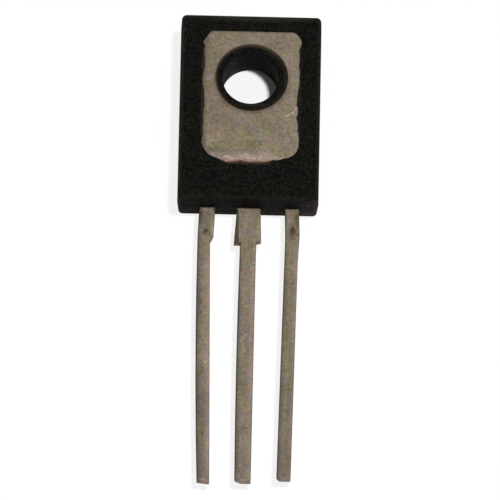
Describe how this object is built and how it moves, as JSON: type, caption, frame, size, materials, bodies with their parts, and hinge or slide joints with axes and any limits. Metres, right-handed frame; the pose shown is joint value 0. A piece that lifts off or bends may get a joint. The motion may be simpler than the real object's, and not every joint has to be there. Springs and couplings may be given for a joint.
{
  "type": "power transistor",
  "caption": "Flat moulded power transistor with a through hole for its screw, a bare metal cooling face and long straight leads.",
  "frame": {"origin": "on the screw hole's axis, in the plane of the plain front face that it lies on", "axes": "+Z out of the bare metal face, -Y along the leads, +X across towards the emitter lead"},
  "size_m": [0.0076, 0.0266, 0.0025],
  "materials": {
    "moulding": "black epoxy moulding compound with a fine matt grain",
    "plated_copper": "copper alloy with a dull, warm grey tin plating",
    "silicon": "polished silicon",
    "solder": "dull solder",
    "bond_wire": "drawn aluminium wire"
  },
  "bodies": {
    "root": {"moulded_body": "moulding", "collector_tab": "plated_copper", "base_lead": "plated_copper", "emitter_lead": "plated_copper", "silicon_chip": "silicon", "chip_solder": "solder", "base_wire": "bond_wire", "emitter_wire": "bond_wire"}
  },
  "joints": []
}
